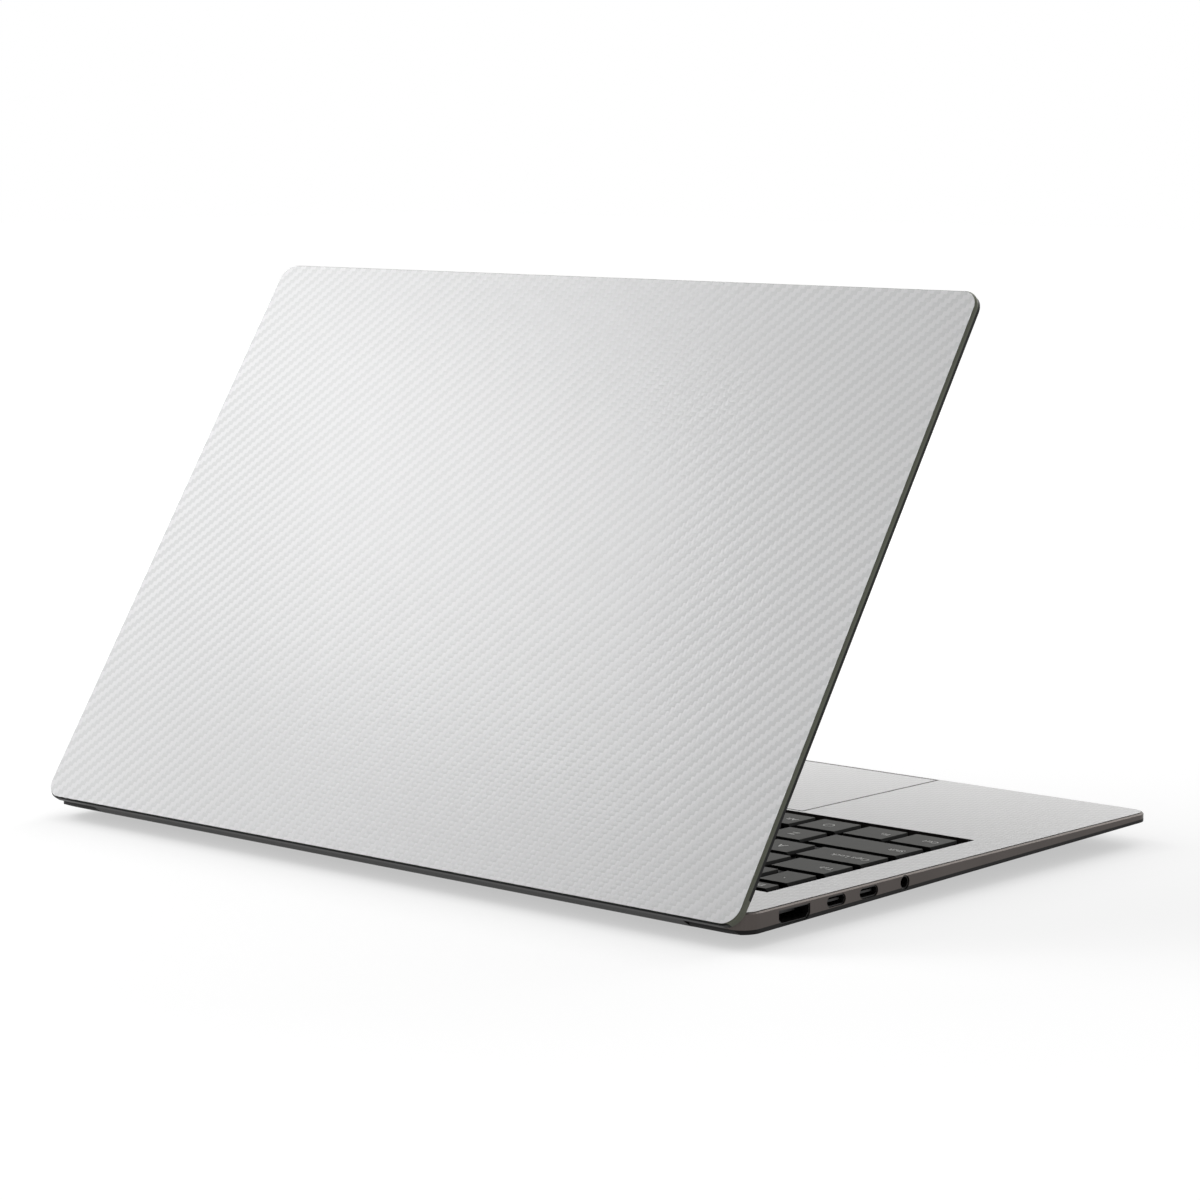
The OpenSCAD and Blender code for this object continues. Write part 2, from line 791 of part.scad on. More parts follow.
module battery_pack() {
    cells = 3;
    tray_t = 0.6;
    cell_gap = 1.5;
    cell_w = (battery_w - 4 - (cells - 1) * cell_gap) / cells;
    color([0.14, 0.14, 0.15]) placed() {
        block([-battery_w / 2, cell_y, floor_z], [battery_w / 2, cell_y + battery_d, floor_z + tray_t]);
        for (i = [0:cells - 1])
            translate([(i - (cells - 1) / 2) * (cell_w + cell_gap), cell_y + battery_d / 2, floor_z])
                linear_extrude(battery_h) rounded_rect(cell_w, battery_d - 3, 2.5);
    }
}

module mainboard() {
    chip_h = 1;
    color(board_green) placed() difference() {
        union() {
            translate([0, 0, board_z - board_t]) linear_extrude(board_t) board_plan();
            block([-12, board_y + 14, board_z], [12, board_y + 38, board_z + chip_h]);
            for (side = [-1, 1], i = [0:1])
                translate([side * (24 + i * 11), board_y + 20, board_z - 0.1])
                    linear_extrude(chip_h + 0.1) square([9, 13], center = true);
            for (i = [0:4])
                translate([-60 - i * 9, board_y + 12, board_z - 0.1])
                    linear_extrude(1.5) square([6.5, 6.5], center = true);
            translate([40 - board_x, board_y + 32, board_z - 0.1])
                linear_extrude(chip_h + 0.1) square([22, 16], center = true);
        }
        for (spot = SCREWS)
            translate([spot[0], spot[1], 0]) cylinder(r = pad_r + 0.3, h = deck_z);
    }
}

// Plan of the circuit board: a front band, a middle tongue and an ear at each side
module board_plan() {
    ear_x = fan_x + fan_size / 2 + 2;
    ear_d = base_d - hdmi_back + hdmi_w / 2 - board_y;
    tongue_x = fan_x - fan_size / 2 - 2;
    translate([-board_x, board_y]) square([2 * board_x, board_band]);
    for (side = [-1, 1])
        translate([side * (board_x + ear_x) / 2, board_y + ear_d / 2])
            square([board_x - ear_x, ear_d], center = true);
    translate([-tongue_x, board_y]) square([2 * tongue_x, fan_y + fan_size / 2 - board_y]);
}

module ssd_module() {
    stick_l = 80;
    chip_h = 0.6;
    color([0.08, 0.10, 0.12]) placed() translate([board_x - stick_l - 2, board_y + 12, board_z]) {
        block([0, 0, chip_h], [stick_l, 22, chip_h + 0.8]);
        for (i = [0:2]) block([10 + i * 22, 4, 0], [26 + i * 22, 18, chip_h]);
        block([-2, 1, 0], [0, 21, chip_h + 0.8]);
    }
}

module heat_sink() {
    bar_t = 1;
    fins_y = notch_y - wall_t - 0.3 - fins_d;
    top = inner_top_z - 0.1;
    cold_y = board_y + 12;
    color(copper) placed() {
        block([-16, cold_y, board_z + 1], [16, cold_y + 28, top]);
        block([-5, cold_y + 28, top - bar_t], [5, fins_y + 8, top]);
        block([-fan_x - fins_w / 2, fins_y, top - bar_t], [fan_x + fins_w / 2, fins_y + 8, top]);
        both_sides() fin_stack(fins_y, top - bar_t);
    }
}

// Row of upright fins under the heat pipe, closed by a thin sheet below
module fin_stack(y, top) {
    fin_t = 0.4;
    count = floor(fins_w / fin_pitch);
    low = top - fins_h;
    translate([fan_x - fins_w / 2, y, 0]) {
        block([0, 0, low], [fins_w, fins_d, low + 0.3]);
        for (i = [0:count])
            translate([i * (fins_w - fin_t) / count, 0, 0]) block([0, 0, low], [fin_t, fins_d, top]);
    }
}

module fan_housings() {
    color([0.10, 0.10, 0.11]) placed() both_sides() translate([fan_x, fan_y, 0])
        difference() {
            union() {
                fan_case();
                translate([0, 0, fan_low_z]) cylinder(r = 2.4, h = fan_plate_t + bearing_h);
            }
            translate([0, 0, fan_low_z + 0.2]) cylinder(r = bearing_r, h = 4);
        }
}

// Case of a fan: a round chamber that opens toward the fins, with inlets above and below
module fan_case() {
    difference() {
        translate([0, 0, fan_low_z])
            linear_extrude(fan_top_z - fan_low_z) rounded_rect(fan_size, fan_size, 6);
        translate([0, 0, fan_low_z + fan_plate_t])
            linear_extrude(fan_top_z - fan_low_z - 2 * fan_plate_t) {
                circle(r = chamber_r);
                translate([-chamber_r, 0]) square([2 * chamber_r - 4, fan_size / 2 + eps]);
            }
        translate([0, 0, fan_top_z - fan_plate_t - eps]) cylinder(r = 14, h = fan_plate_t + 2 * eps);
        for (turn = [0:60:300])
            rotate([0, 0, turn]) translate([10, 0, fan_low_z - eps])
                cylinder(r = 3.4, h = fan_plate_t + 2 * eps);
    }
}

// Fan impeller about its axis: hub, shaft, leaning blades and the ring that ties their tips
module impeller() {
    hub_low = fan_low_z + fan_plate_t + bearing_h + 0.15;
    hub_top = fan_top_z - fan_plate_t - 0.2;
    blade_low = fan_low_z + fan_plate_t + 0.3;
    blade_t = 0.5;
    hub_r = 7.5;
    ring_w = 0.9;
    lean = 28;
    root = hub_r - 0.6;
    blade_l = impeller_r - 0.35 - hub_r;
    translate([0, 0, hub_low]) cylinder(r = hub_r, h = hub_top - hub_low);
    translate([0, 0, fan_low_z + 0.3]) cylinder(r = bearing_r - bearing_gap, h = hub_low - fan_low_z);
    translate([0, 0, hub_top - 0.6]) difference() {
        cylinder(r = impeller_r, h = 0.4);
        translate([0, 0, -eps]) cylinder(r = impeller_r - ring_w, h = 0.4 + 2 * eps);
    }
    for (i = [0:blade_count - 1])
        rotate([0, 0, i * 360 / blade_count])
            translate([root, 0, blade_low])
                rotate([0, 0, lean])
                    translate([0, -blade_t / 2, 0])
                        cube([blade_l + 0.6, blade_t, hub_top - 0.35 - blade_low]);
}

module left_impeller() {
    color([0.16, 0.16, 0.17]) placed() translate([-fan_x, fan_y, 0]) impeller();
}

module right_impeller() {
    color([0.16, 0.16, 0.17]) placed() translate([fan_x, fan_y, 0]) impeller();
}

module speakers() {
    color(black) placed() both_sides() translate([speaker_x, speaker_y, floor_z]) {
        linear_extrude(3.4) rounded_rect(26, speaker_d, 4);
        linear_extrude(3.8) rounded_rect(18, speaker_d - 8, 4);
    }
}

// ---------- sockets ----------

// Solder block that carries a socket down to the circuit board
module solder_block(from, w, drop) {
    low = board_z - deck_z + drop;
    arm_z = low + 1.4;
    top = low + 2.3;
    block([from - 0.2, -w / 2, arm_z], [lug_to, w / 2, top]);
    block([lug_from, -w / 2, low], [lug_to, w / 2, top]);
}

module hdmi_port() {
    w = hdmi_w - 2 * port_gap;
    h = hdmi_h - 2 * port_gap;
    color(steel) at_port(-1, hdmi_back, hdmi_drop) {
        difference() {
            along_x(port_recess, hdmi_l) hdmi_shape(w, h);
            along_x(0, hdmi_l - 1) hdmi_shape(w - 2 * socket_wall, h - 2 * socket_wall);
        }
        block([4, -w / 2 + 2.4, -0.1], [hdmi_l - 0.5, w / 2 - 2.4, 0.7]);
        solder_block(hdmi_l, w - 4, hdmi_drop);
    }
}

module usb_c_ports() {
    w = usb_c_w - 2 * port_gap;
    h = usb_c_h - 2 * port_gap;
    color(steel) for (i = [0, 1])
        at_port(-1, usb_c_back + i * usb_c_pitch, usb_c_drop) {
            difference() {
                along_x(port_recess, usb_c_l) pill_shape(w, h);
                along_x(0, usb_c_l - 0.8) pill_shape(w - 2 * socket_wall, h - 2 * socket_wall);
            }
            block([1.6, -3.3, -0.35], [usb_c_l - 0.4, 3.3, 0.35]);
            solder_block(usb_c_l, w - 3, usb_c_drop);
        }
}

module audio_jack() {
    color(steel) at_port(-1, jack_back, jack_drop) {
        difference() {
            along_x(port_recess, jack_l + port_recess) circle(r = jack_r + jack_wall);
            along_x(0, jack_l) circle(r = jack_r);
        }
        solder_block(jack_l + port_recess, 3, jack_drop);
    }
}

module usb_a_port() {
    w = usb_a_w - 2 * port_gap;
    h = usb_a_h - 2 * port_gap;
    color(steel) at_port(1, usb_a_back, usb_a_drop) {
        difference() {
            along_x(port_recess, usb_a_l) square([w, h], center = true);
            along_x(0, usb_a_l - 0.8) square([w - 2 * socket_wall, h - 2 * socket_wall], center = true);
        }
        block([1.6, -w / 2 + 1, 0.1], [usb_a_l - 0.4, w / 2 - 1, 1.5]);
        solder_block(usb_a_l, w - 4, usb_a_drop);
    }
}

// ---------- hinge ----------

module base_hinge_brackets() {
    arm_d = 12;
    arm_t = 1;
    color(steel) placed() both_sides() translate([0, hinge_y, hinge_z]) difference() {
        union() {
            along_x(sleeve_from, sleeve_to) circle(r = sleeve_r);
            block(
                [sleeve_from, -arm_d, plate_z - hinge_z - arm_t],
                [sleeve_to, 0, plate_z - hinge_z]
            );
        }
        along_x(sleeve_from - eps, sleeve_to + eps) circle(r = pin_r + pin_gap);
    }
}

module lid_hinge_brackets() {
    color(steel) on_lid() both_sides() {
        along_x(leaf_x, sleeve_to - 0.5) circle(r = pin_r);
        block([leaf_x, -upright, -pin_r], [leaf_x + leaf_w, upright, pocket_out]);
        block([leaf_x, -leaf_reach, cover_in + 0.3], [leaf_x + leaf_w, upright, pocket_out]);
    }
}

module hinge_strip() {
    fit = 0.1;
    color([0.16, 0.16, 0.15]) on_lid() difference() {
        union() {
            along_x(-strip_x, strip_x) circle(r = strip_r);
            block([-strip_x, -strip_r, 0], [strip_x, strip_r, cover_in]);
        }
        block([-strip_x - eps, -strip_r, cover_in], [strip_x + eps, strip_r, cover_in + 2 * eps]);
        both_sides() {
            along_x(leaf_x, strip_x + eps) circle(r = pin_r + fit);
            block(
                [leaf_x - fit, -upright - fit, -pin_r - fit],
                [leaf_x + leaf_w + fit, upright + fit, cover_in + eps]
            );
        }
    }
}

// ---------- lid ----------

module lid_cover() {
    color(lid_metal) on_lid() difference() {
        hull() {
            translate([0, 0, cover_in])
                linear_extrude(cover_out - lid_edge_h - cover_in) lid_plan(0, $fn = 32);
            translate([0, 0, cover_out - 0.01]) linear_extrude(0.01) lid_plan(lid_edge_w, $fn = 32);
        }
        translate([0, 0, cover_in - eps])
            linear_extrude(pocket_out - cover_in + eps) lid_inner_plan(lid_wall_t, lid_seam + 1.9);
        both_sides()
            block(
                [leaf_x - 0.2, -leaf_reach, cover_in - eps],
                [leaf_x + leaf_w + 0.2, upright + 0.2, pocket_out]
            );
        translate([0, 0, cover_in - eps]) linear_extrude(rebate_out - cover_in + eps) difference() {
            lid_inner_plan(-eps, lid_seam - trim_fit);
            lid_inner_plan(trim_w, lid_seam - trim_fit - eps);
        }
    }
}

module lid_skin() {
    color(vinyl) on_lid() translate([0, 0, cover_out]) linear_extrude(skin_t) lid_plan(lid_edge_w);
}

// Bezel: a plate round the view, on a wider flange whose rim stands in the cover's rebate
module display_bezel() {
    flange_t = 0.3;
    flange_in = cover_in - flange_t;
    color(black) on_lid() {
        difference() {
            union() {
                translate([0, 0, bezel_in]) linear_extrude(bezel_t) lid_inner_plan(bezel_edge, lid_seam);
                translate([0, 0, flange_in]) linear_extrude(flange_t) lid_inner_plan(trim_edge, lid_seam);
            }
            block([-view_w / 2, -view_top, 0], [view_w / 2, -view_low, cover_in + eps]);
            translate([0, camera_y, bezel_in - eps]) cylinder(r = 1.8, h = bezel_t + 2 * eps);
        }
        translate([0, 0, flange_in]) linear_extrude(rebate_out - trim_fit - flange_in) difference() {
            lid_inner_plan(trim_edge, lid_seam);
            lid_inner_plan(trim_w - trim_fit, lid_seam - eps);
        }
    }
}

module display_panel() {
    side = base_w / 2 - lid_wall_t - 0.4;
    border = 1.5;
    fit = 0.2;
    face = view_w / 2 - fit;
    color([0.02, 0.02, 0.03]) on_lid() {
        block([-side, -view_top - border, cover_in], [side, -view_low + border, pocket_out]);
        block([-face, -view_top + fit, bezel_in + 0.3], [face, -view_low - fit, cover_in + 0.1]);
    }
}

module camera_module() {
    color([0.04, 0.04, 0.05]) on_lid() {
        block([-14, camera_y - 2.2, cover_in], [14, camera_y + 2.2, pocket_out]);
        translate([0, camera_y, bezel_in + 0.15]) cylinder(r = 1.6, h = bezel_t);
    }
}

module lid_gasket() {
    edge = bezel_edge + 0.5;
    seam = lid_seam + 1;
    color([0.07, 0.07, 0.07]) on_lid() translate([0, 0, gasket_in])
        linear_extrude(gasket_t) difference() {
            lid_inner_plan(edge, seam);
            lid_inner_plan(edge + gasket_w, seam + gasket_w);
        }
}

// ---------- touchpad ----------

module touchpad() {
    color([0.25, 0.25, 0.25]) placed()
        block([-pad_w / 2, pad_front_y, pad_low_z], [pad_w / 2, pad_back_y, case_z]);
}

module touchpad_skin() {
    color(vinyl) placed()
        block([-pad_w / 2, pad_front_y, case_z], [pad_w / 2, pad_back_y, deck_z]);
}

// ---------- keys ----------

// Sum of the first entries of a list
function sum_of(list, count) = count == 0 ? 0 : list[count - 1] + sum_of(list, count - 1);

function key_x(row, i) = -keys_w / 2 + key_unit * (sum_of(ROWS[row], i) + ROWS[row][i] / 2) - key_gap / 2;
function key_w(row, i) = key_unit * ROWS[row][i] - key_gap;
function row_d(row) = row == back_row ? back_key_d : key_d;
function row_y(row) = well_y + well_margin + row * row_pitch + row_d(row) / 2;

// Keycap drawn about the middle of its plan: sides that lean in, and two guide legs
module keycap(w, d) {
    translate([0, 0, key_low_z]) intersection() {
        linear_extrude(key_h) rounded_rect(w, d, key_r);
        along_x(-w, w) cap_profile(d);
        rotate([90, 0, 0]) translate([0, 0, -d]) linear_extrude(2 * d) cap_profile(w);
    }
    for (side = [-1, 1])
        translate([side * (w / 2 - leg_in) - leg_w / 2, -leg_size(d) / 2, leg_low_z])
            cube([leg_w, leg_size(d), key_low_z - leg_low_z + 0.2]);
}

function leg_size(d) = min(leg_d, d - 3);

// Keycap cut across: an upright skirt under sides that lean in
module cap_profile(w) {
    skirt = 0.35;
    polygon([
        [-w / 2, 0], [w / 2, 0], [w / 2, skirt],
        [w / 2 - key_taper, key_h], [key_taper - w / 2, key_h], [-w / 2, skirt]
    ]);
}

// Key i of a row in its place
module key(row, i) {
    color(key_grey) placed()
        translate([key_x(row, i), row_y(row), 0]) keycap(key_w(row, i), row_d(row));
}

// One of the two half keys of the arrow column
module half_key(side) {
    color(key_grey) placed()
        translate([key_x(0, arrow_column), row_y(0) + side * half_step, 0])
            keycap(key_w(0, arrow_column), half_d);
}

// Slots in the keyboard plate for a key's guide legs
module key_slots(row, i) {
    split = row == 0 && i == arrow_column;
    w = key_w(row, i);
    d = split ? half_d : row_d(row);
    for (side = [-1, 1], half = split ? [-1, 1] : [0])
        translate([key_x(row, i) + side * (w / 2 - leg_in), row_y(row) + half * half_step, key_plate_z - eps])
            translate([-leg_w / 2 - slot_gap, -leg_size(d) / 2 - slot_gap, 0])
                cube([leg_w + 2 * slot_gap, leg_size(d) + 2 * slot_gap, key_plate_t + 2 * eps]);
}

module left_ctrl_key() key(0, 0);
module fn_key() key(0, 1);
module start_key() key(0, 2);
module left_alt_key() key(0, 3);
module space_key() key(0, 4);
module right_alt_key() key(0, 5);
module right_ctrl_key() key(0, 6);
module left_arrow_key() key(0, 7);
module up_arrow_key() half_key(1);
module down_arrow_key() half_key(-1);
module right_arrow_key() key(0, 9);
module left_shift_key() key(1, 0);
module lower_letter_keys() for (i = [1:10]) key(1, i);
module right_shift_key() key(1, 11);
module caps_lock_key() key(2, 0);
module home_letter_keys() for (i = [1:11]) key(2, i);
module enter_key() key(2, 12);
module tab_key() key(3, 0);
module upper_letter_keys() for (i = [1:12]) key(3, i);
module backslash_key() key(3, 13);
module grave_key() key(4, 0);
module number_keys() for (i = [1:12]) key(4, i);
module backspace_key() key(4, 13);
module esc_key() key(back_row, 0);
module function_keys() for (i = [1:back_count - 2]) key(back_row, i);
module power_key() key(back_row, back_count - 1);

// ---------- what is drawn ----------

top_case();
deck_skin();
keyboard_plate();
touchpad_frame();
intake_grille();
bottom_cover();
cover_screws();
front_feet();
rear_foot();
battery_pack();
mainboard();
ssd_module();
heat_sink();
fan_housings();
speakers();
hdmi_port();
usb_c_ports();
audio_jack();
usb_a_port();
base_hinge_brackets();
touchpad();
touchpad_skin();
left_impeller();
right_impeller();
lid_cover();
lid_skin();
display_bezel();
display_panel();
lid_gasket();
camera_module();
hinge_strip();
lid_hinge_brackets();
left_ctrl_key();
fn_key();
start_key();
left_alt_key();
space_key();
right_alt_key();
right_ctrl_key();
left_arrow_key();
up_arrow_key();
down_arrow_key();
right_arrow_key();
left_shift_key();
lower_letter_keys();
right_shift_key();
caps_lock_key();
home_letter_keys();
enter_key();
tab_key();
upper_letter_keys();
backslash_key();
grave_key();
number_keys();
backspace_key();
esc_key();
function_keys();
power_key();
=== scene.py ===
"""Looks of the laptop computer: materials, key legends, studio light and camera."""

import math

import bpy
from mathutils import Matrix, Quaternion, Vector


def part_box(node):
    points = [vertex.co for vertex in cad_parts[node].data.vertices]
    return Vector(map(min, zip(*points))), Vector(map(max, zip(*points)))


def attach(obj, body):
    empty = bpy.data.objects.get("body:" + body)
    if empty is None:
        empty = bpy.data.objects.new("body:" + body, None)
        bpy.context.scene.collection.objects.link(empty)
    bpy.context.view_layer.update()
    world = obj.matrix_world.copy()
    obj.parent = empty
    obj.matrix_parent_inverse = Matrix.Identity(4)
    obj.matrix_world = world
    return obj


MM = 0.001

# Sizes the looks share with the frame, in millimetres and degrees
CASE_Z = 10.8
KEY_TOP_Z = 10.95
BASE_HALF = 155.15
HINGE_Y = 100.554
HINGE_Z = 8.11
LID_ANGLE = 56.875
ORIGIN_Y = 108.926
LID_SIN = math.sin(math.radians(LID_ANGLE))
LID_COS = math.cos(math.radians(LID_ANGLE))

# Where a finish, a painted shade or a painted highlight changes, in millimetres
CASE_EDGE = 0.3
LID_REAR_SHADE_FROM = 3.9
REAR_SHADE_FROM = 107.6
REAR_CORNER_X = -147.0
SHEET_EDGE = 0.03
PAD_SEAM_SHADE = 0.6
SOCKET_LIP = 0.35
KEY_RIM_HIGHLIGHT = 0.16
KEY_FACE = 0.01

# Keyboard, as in the part: key widths in units, from the front row to the back
KEY_UNIT = 19.05
KEY_GAP = 3.15
ROW_PITCH = 18.15
BACK_KEY_D = 7.0
KEYS_W = 273.075
FIRST_KEY_Y = 83.43 - ORIGIN_Y
ROWS = (
    (1.03, 1, 1, 1, 5.47, 1, 1, 1, 1, 1),
    (2.03,) + (1,) * 10 + (2.47,),
    (1.53,) + (1,) * 11 + (1.97,),
    (1.28,) + (1,) * 12 + (1.22,),
    (0.78,) + (1,) * 12 + (1.72,),
    (14.5 / 15,) * 15,
)
BACK_ROW = 5
HALF_KEYS = 8
# Plain legends of each row, and the body that each key moves with
LEGENDS = (
    ("Ctrl", "Fn", "ring", "Alt", "", "Alt", "Ctrl", "left", "", "right"),
    ("Shift",) + tuple("ZXCVBNM,./") + ("Shift",),
    ("Caps Lock",) + tuple("ASDFGHJKL;'") + ("Enter",),
    ("Tab",) + tuple("QWERTYUIOP[]") + ("\\",),
    ("`",) + tuple("1234567890-=") + ("Backspace",),
    ("Esc",) + tuple("F%d" % i for i in range(1, 13)) + ("Del", "ring"),
)
KEY_BODIES = (
    ("left_ctrl_key", "fn_key", "start_key", "left_alt_key", "space_key", "right_alt_key",
     "right_ctrl_key", "left_arrow_key", "", "right_arrow_key"),
    ("left_shift_key",) + ("lower_letter_keys",) * 10 + ("right_shift_key",),
    ("caps_lock_key",) + ("home_letter_keys",) * 11 + ("enter_key",),
    ("tab_key",) + ("upper_letter_keys",) * 12 + ("backslash_key",),
    ("grave_key",) + ("number_keys",) * 12 + ("backspace_key",),
    ("esc_key",) + ("function_keys",) * 13 + ("power_key",),
)
ARROWS = {"right": 0, "up": 90, "left": 180, "down": 270}
HALF_KEY_STEP = 4.05
WORD_SIZE = 3.5
LETTER_SIZE = 4.8
STROKE = 0.05
WORD_MARGIN = 2.2
BACK_WORD_SHIFT = 1.0
PRINT_LIFT = 0.02
RING_OUTER = 2.0
RING_INNER = 1.6
ARROW = ((-0.9, -1.0), (0.9, 0.0), (-0.9, 1.0))

# Vinyl weave: four tows make one repeat of the twill, counted from a place off the machine
TOW_ACROSS = 1.28
TOW_ALONG = 1.51
WEAVE_START = 400.0

# Camera, found from the photograph's edges, in millimetres and degrees
CAMERA_AT = (-802.38, 893.07, 239.09)
CAMERA_YAW = 138.256
CAMERA_PITCH = 7.588
CAMERA_LENS = 107.53

# Studio: strengths from 0 to 1, distances in millimetres
WORLD_FILL = 0.1
FLOOR_HALF = 6000.0
FLOOR_LIFT = 0.82
FLOOR_TONE = 0.25
FADE_FROM = 260.0
FADE_TO = 900.0
CONTACT_SHADOW_REACH = 35.0
CONTACT_SHADOW_DARK = 0.62

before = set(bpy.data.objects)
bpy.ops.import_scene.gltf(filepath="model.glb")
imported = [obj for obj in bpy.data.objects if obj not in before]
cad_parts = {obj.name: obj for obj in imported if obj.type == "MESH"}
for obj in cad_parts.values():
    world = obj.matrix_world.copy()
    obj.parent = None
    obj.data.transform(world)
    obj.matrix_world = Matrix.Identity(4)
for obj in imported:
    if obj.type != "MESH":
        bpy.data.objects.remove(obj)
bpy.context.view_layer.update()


def linear(value):
    """Linear value of one sRGB channel from 0 to 255."""
    c = value / 255
    return c / 12.92 if c <= 0.04045 else ((c + 0.055) / 1.055) ** 2.4


def rgb(r, g, b):
    return (linear(r), linear(g), linear(b), 1.0)


def lighter(colour, times):
    return tuple(v * times for v in colour[:3]) + (1.0,)


class Nodes:
    """Short calls for building one material's node tree."""

    def __init__(self, name):
        self.material = bpy.data.materials.new(name)
        self.material.use_nodes = True
        self.tree = self.material.node_tree
        self.tree.nodes.clear()
        self.out = self.tree.nodes.new("ShaderNodeOutputMaterial")

    def add(self, kind, **values):
        node = self.tree.nodes.new(kind)
        for key, value in values.items():
            setattr(node, key, value)
        return node

    def link(self, source, target):
        self.tree.links.new(source, target)

    def math(self, operation, a, b=None):
        node = self.add("ShaderNodeMath", operation=operation)
        for i, value in enumerate((a, b)):
            if value is None:
                continue
            if isinstance(value, (int, float)):
                node.inputs[i].default_value = value
            else:
                self.link(value, node.inputs[i])
        return node.outputs[0]

    def place(self):
        """Object coordinates in millimetres, as three outputs."""
        coordinates = self.add("ShaderNodeTexCoord")
        scale = self.add("ShaderNodeVectorMath", operation="SCALE")
        scale.inputs["Scale"].default_value = 1 / MM
        self.link(coordinates.outputs["Object"], scale.inputs[0])
        self.spot = scale.outputs[0]
        parts = self.add("ShaderNodeSeparateXYZ")
        self.link(self.spot, parts.inputs[0])
        return parts.outputs

    def noise(self, scale, detail=2.0):
        node = self.add("ShaderNodeTexNoise")
        node.inputs["Scale"].default_value = scale
        node.inputs["Detail"].default_value = detail
        self.link(self.spot, node.inputs["Vector"])
        return node.outputs["Fac"]

    def remap(self, value, low, high, to_low, to_high):
        node = self.add("ShaderNodeMapRange")
        for i, number in enumerate((low, high, to_low, to_high)):
            node.inputs[i + 1].default_value = number
        self.link(value, node.inputs[0])
        return node.outputs[0]

    def mix(self, factor, a, b):
        node = self.add("ShaderNodeMix", data_type="RGBA")
        for i, value in ((6, a), (7, b)):
            if isinstance(value, tuple):
                node.inputs[i].default_value = value
            else:
                self.link(value, node.inputs[i])
        self.link(factor, node.inputs[0])
        return node.outputs[2]

    def bump(self, height, distance):
        node = self.add("ShaderNodeBump")
        node.inputs["Distance"].default_value = distance * MM
        node.inputs["Strength"].default_value = 1.0
        self.link(height, node.inputs["Height"])
        return node.outputs[0]

    def surface(self, colour, rough, metal, normal, **uniform):
        shader = self.add("ShaderNodeBsdfPrincipled")
        self.link(colour, shader.inputs["Base Color"])
        if isinstance(rough, (int, float)):
            shader.inputs["Roughness"].default_value = rough
        else:
            self.link(rough, shader.inputs["Roughness"])
        shader.inputs["Metallic"].default_value = metal
        for key, value in uniform.items():
            shader.inputs[key.replace("_", " ")].default_value = value
        self.link(normal, shader.inputs["Normal"])
        self.link(shader.outputs[0], self.out.inputs[0])
        self.shader = shader
        return self.material


def twill(n, across, along):
    """Height from 0 to 1 of a twill embossed in vinyl: tows pass over two and under two."""
    column = n.math("FLOOR", across)
    row = n.math("FLOOR", along)
    in_column = n.math("FRACT", across)
    in_row = n.math("FRACT", along)
    step = n.math("FLOORED_MODULO", n.math("ADD", column, row), 4.0)
    warp_up = n.math("LESS_THAN", step, 1.5)
    # Place along a float that is two tows long, from 0 to 1
    warp_run = n.math("MULTIPLY", n.math("ADD", step, in_row), 0.5)
    weft_run = n.math("MULTIPLY", n.math("ADD", n.math("SUBTRACT", step, 2.0), in_column), 0.5)

    def crown(run, side):
        over = n.math("SINE", n.math("MULTIPLY", run, math.pi))
        round_ = n.math("SINE", n.math("MULTIPLY", side, math.pi))
        over = n.math("POWER", n.math("MAXIMUM", over, 0.0), 0.6)
        round_ = n.math("POWER", n.math("MAXIMUM", round_, 0.0), 0.7)
        return n.math("MULTIPLY", over, round_)

    warp = crown(warp_run, in_column)
    weft = crown(weft_run, in_row)
    blend = n.math("MULTIPLY", warp, warp_up)
    rest = n.math("MULTIPLY", weft, n.math("SUBTRACT", 1.0, warp_up))
    return n.math("ADD", blend, rest), warp_up


def lid_depth(n, y, z):
    """Distance behind the lid's outer face, square to it."""
    face = n.math("ADD", n.math("MULTIPLY", y, LID_SIN), n.math("MULTIPLY", z, LID_COS))
    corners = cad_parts["lid_skin"].data.vertices
    top = max(v.co.y * LID_SIN + v.co.z * LID_COS for v in corners) / MM
    return n.math("SUBTRACT", top, face)


def lid_place(n, y, z):
    """Distance behind the hinge axis, measured in the lid's own plane."""
    back = n.math("MULTIPLY", n.math("SUBTRACT", y, HINGE_Y), LID_COS)
    fall = n.math("MULTIPLY", n.math("SUBTRACT", z, HINGE_Z), LID_SIN)
    return n.math("SUBTRACT", back, fall)


def inside(n, places, low, high, grow):
    """1 within a box seen from above and grown by a distance, and 0 outside it."""
    made = None
    for axis, value in enumerate(places):
        middle = (low[axis] + high[axis]) / 2 / MM
        half = (high[axis] - low[axis]) / 2 / MM + grow
        within = n.math("LESS_THAN", n.math("ABSOLUTE", n.math("SUBTRACT", value, middle)), half)
        made = within if made is None else n.math("MULTIPLY", made, within)
    return made


